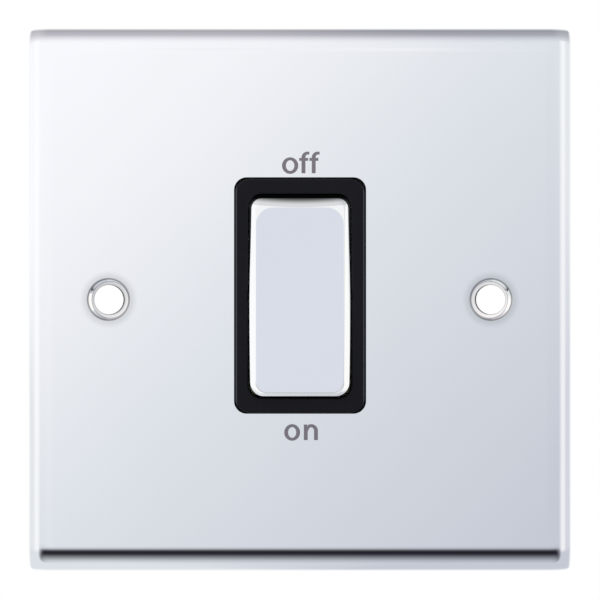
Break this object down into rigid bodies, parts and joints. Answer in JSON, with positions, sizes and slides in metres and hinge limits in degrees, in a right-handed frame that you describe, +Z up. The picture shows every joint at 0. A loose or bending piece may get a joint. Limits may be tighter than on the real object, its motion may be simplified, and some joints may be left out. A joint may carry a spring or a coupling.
{
  "type": "double pole wall switch",
  "caption": "Square bevelled metal wall plate with a tilting rocker that opens and closes both poles together, and tunnel terminals in a housing behind.",
  "frame": {"origin": "centre of the plate's rear rim on the wall, midway between the fixing holes", "axes": "+X to the right seen from the front, +Y into the wall, +Z up"},
  "size_m": [0.0858, 0.0273, 0.0858],
  "materials": {
    "chrome_plate": "polished chrome on pressed steel sheet",
    "chrome_cap": "polished chrome on a thin metal shell",
    "black_moulding": "satin black moulding",
    "white_moulding": "pale thermoset moulding",
    "nylon": "natural nylon",
    "brass": "bright machined brass",
    "copper": "stamped copper",
    "silver": "silver alloy contact",
    "plated_steel": "zinc-plated steel",
    "spring_steel": "drawn spring steel"
  },
  "bodies": {
    "switch_plate": {"front_plate": "chrome_plate", "plate_bushes": "plated_steel", "rocker_frame": "black_moulding", "base_housing": "white_moulding", "module_screws": "plated_steel", "housing_screws": "plated_steel", "terminal_screws": "plated_steel", "earth_strap": "brass", "earth_block": "brass", "earth_screw": "plated_steel", "load_terminal_left": "brass", "load_terminal_right": "brass", "supply_terminal_left": "brass", "supply_terminal_right": "brass", "fixed_button_left": "silver", "fixed_button_right": "silver"},
    "rocker": {"rocker_cap": "chrome_cap", "rocker_body": "black_moulding", "plunger_spring_left": "spring_steel", "plunger_spring_right": "spring_steel"},
    "plunger_left": {"plunger_left": "nylon"},
    "contact_left": {"moving_contact_left": "copper", "moving_button_left": "silver"},
    "plunger_right": {"plunger_right": "nylon"},
    "contact_right": {"moving_contact_right": "copper", "moving_button_right": "silver"}
  },
  "joints": [
    {"name": "rocker_tilt", "type": "hinge", "parent": "switch_plate", "child": "rocker", "pos_m": [0, -0.0037, 0.0006], "axis": [1, 0, 0], "range_deg": [0, 14]},
    {"name": "plunger_slide_left", "type": "slide", "parent": "rocker", "child": "plunger_left", "axis": [0, -0.9925, 0.1219], "range_m": [0, 0.001], "stiffness_N_per_m": 1500, "springref_m": -0.001, "deforming": ["plunger_spring_left"]},
    {"name": "contact_tilt_left", "type": "hinge", "parent": "switch_plate", "child": "contact_left", "pos_m": [-0.00428, 0.01115, 0.0006], "axis": [1, 0, 0], "range_deg": [-17, 0]},
    {"name": "plunger_slide_right", "type": "slide", "parent": "rocker", "child": "plunger_right", "axis": [0, -0.9925, 0.1219], "range_m": [0, 0.001], "stiffness_N_per_m": 1500, "springref_m": -0.001, "deforming": ["plunger_spring_right"]},
    {"name": "contact_tilt_right", "type": "hinge", "parent": "switch_plate", "child": "contact_right", "pos_m": [0.00428, 0.01115, 0.0006], "axis": [1, 0, 0], "range_deg": [-17, 0]}
  ],
  "couplings": [
    {"joint": "contact_tilt_left", "follows": "rocker_tilt", "ratio": -1.2143},
    {"joint": "contact_tilt_right", "follows": "rocker_tilt", "ratio": -1.2143}
  ]
}
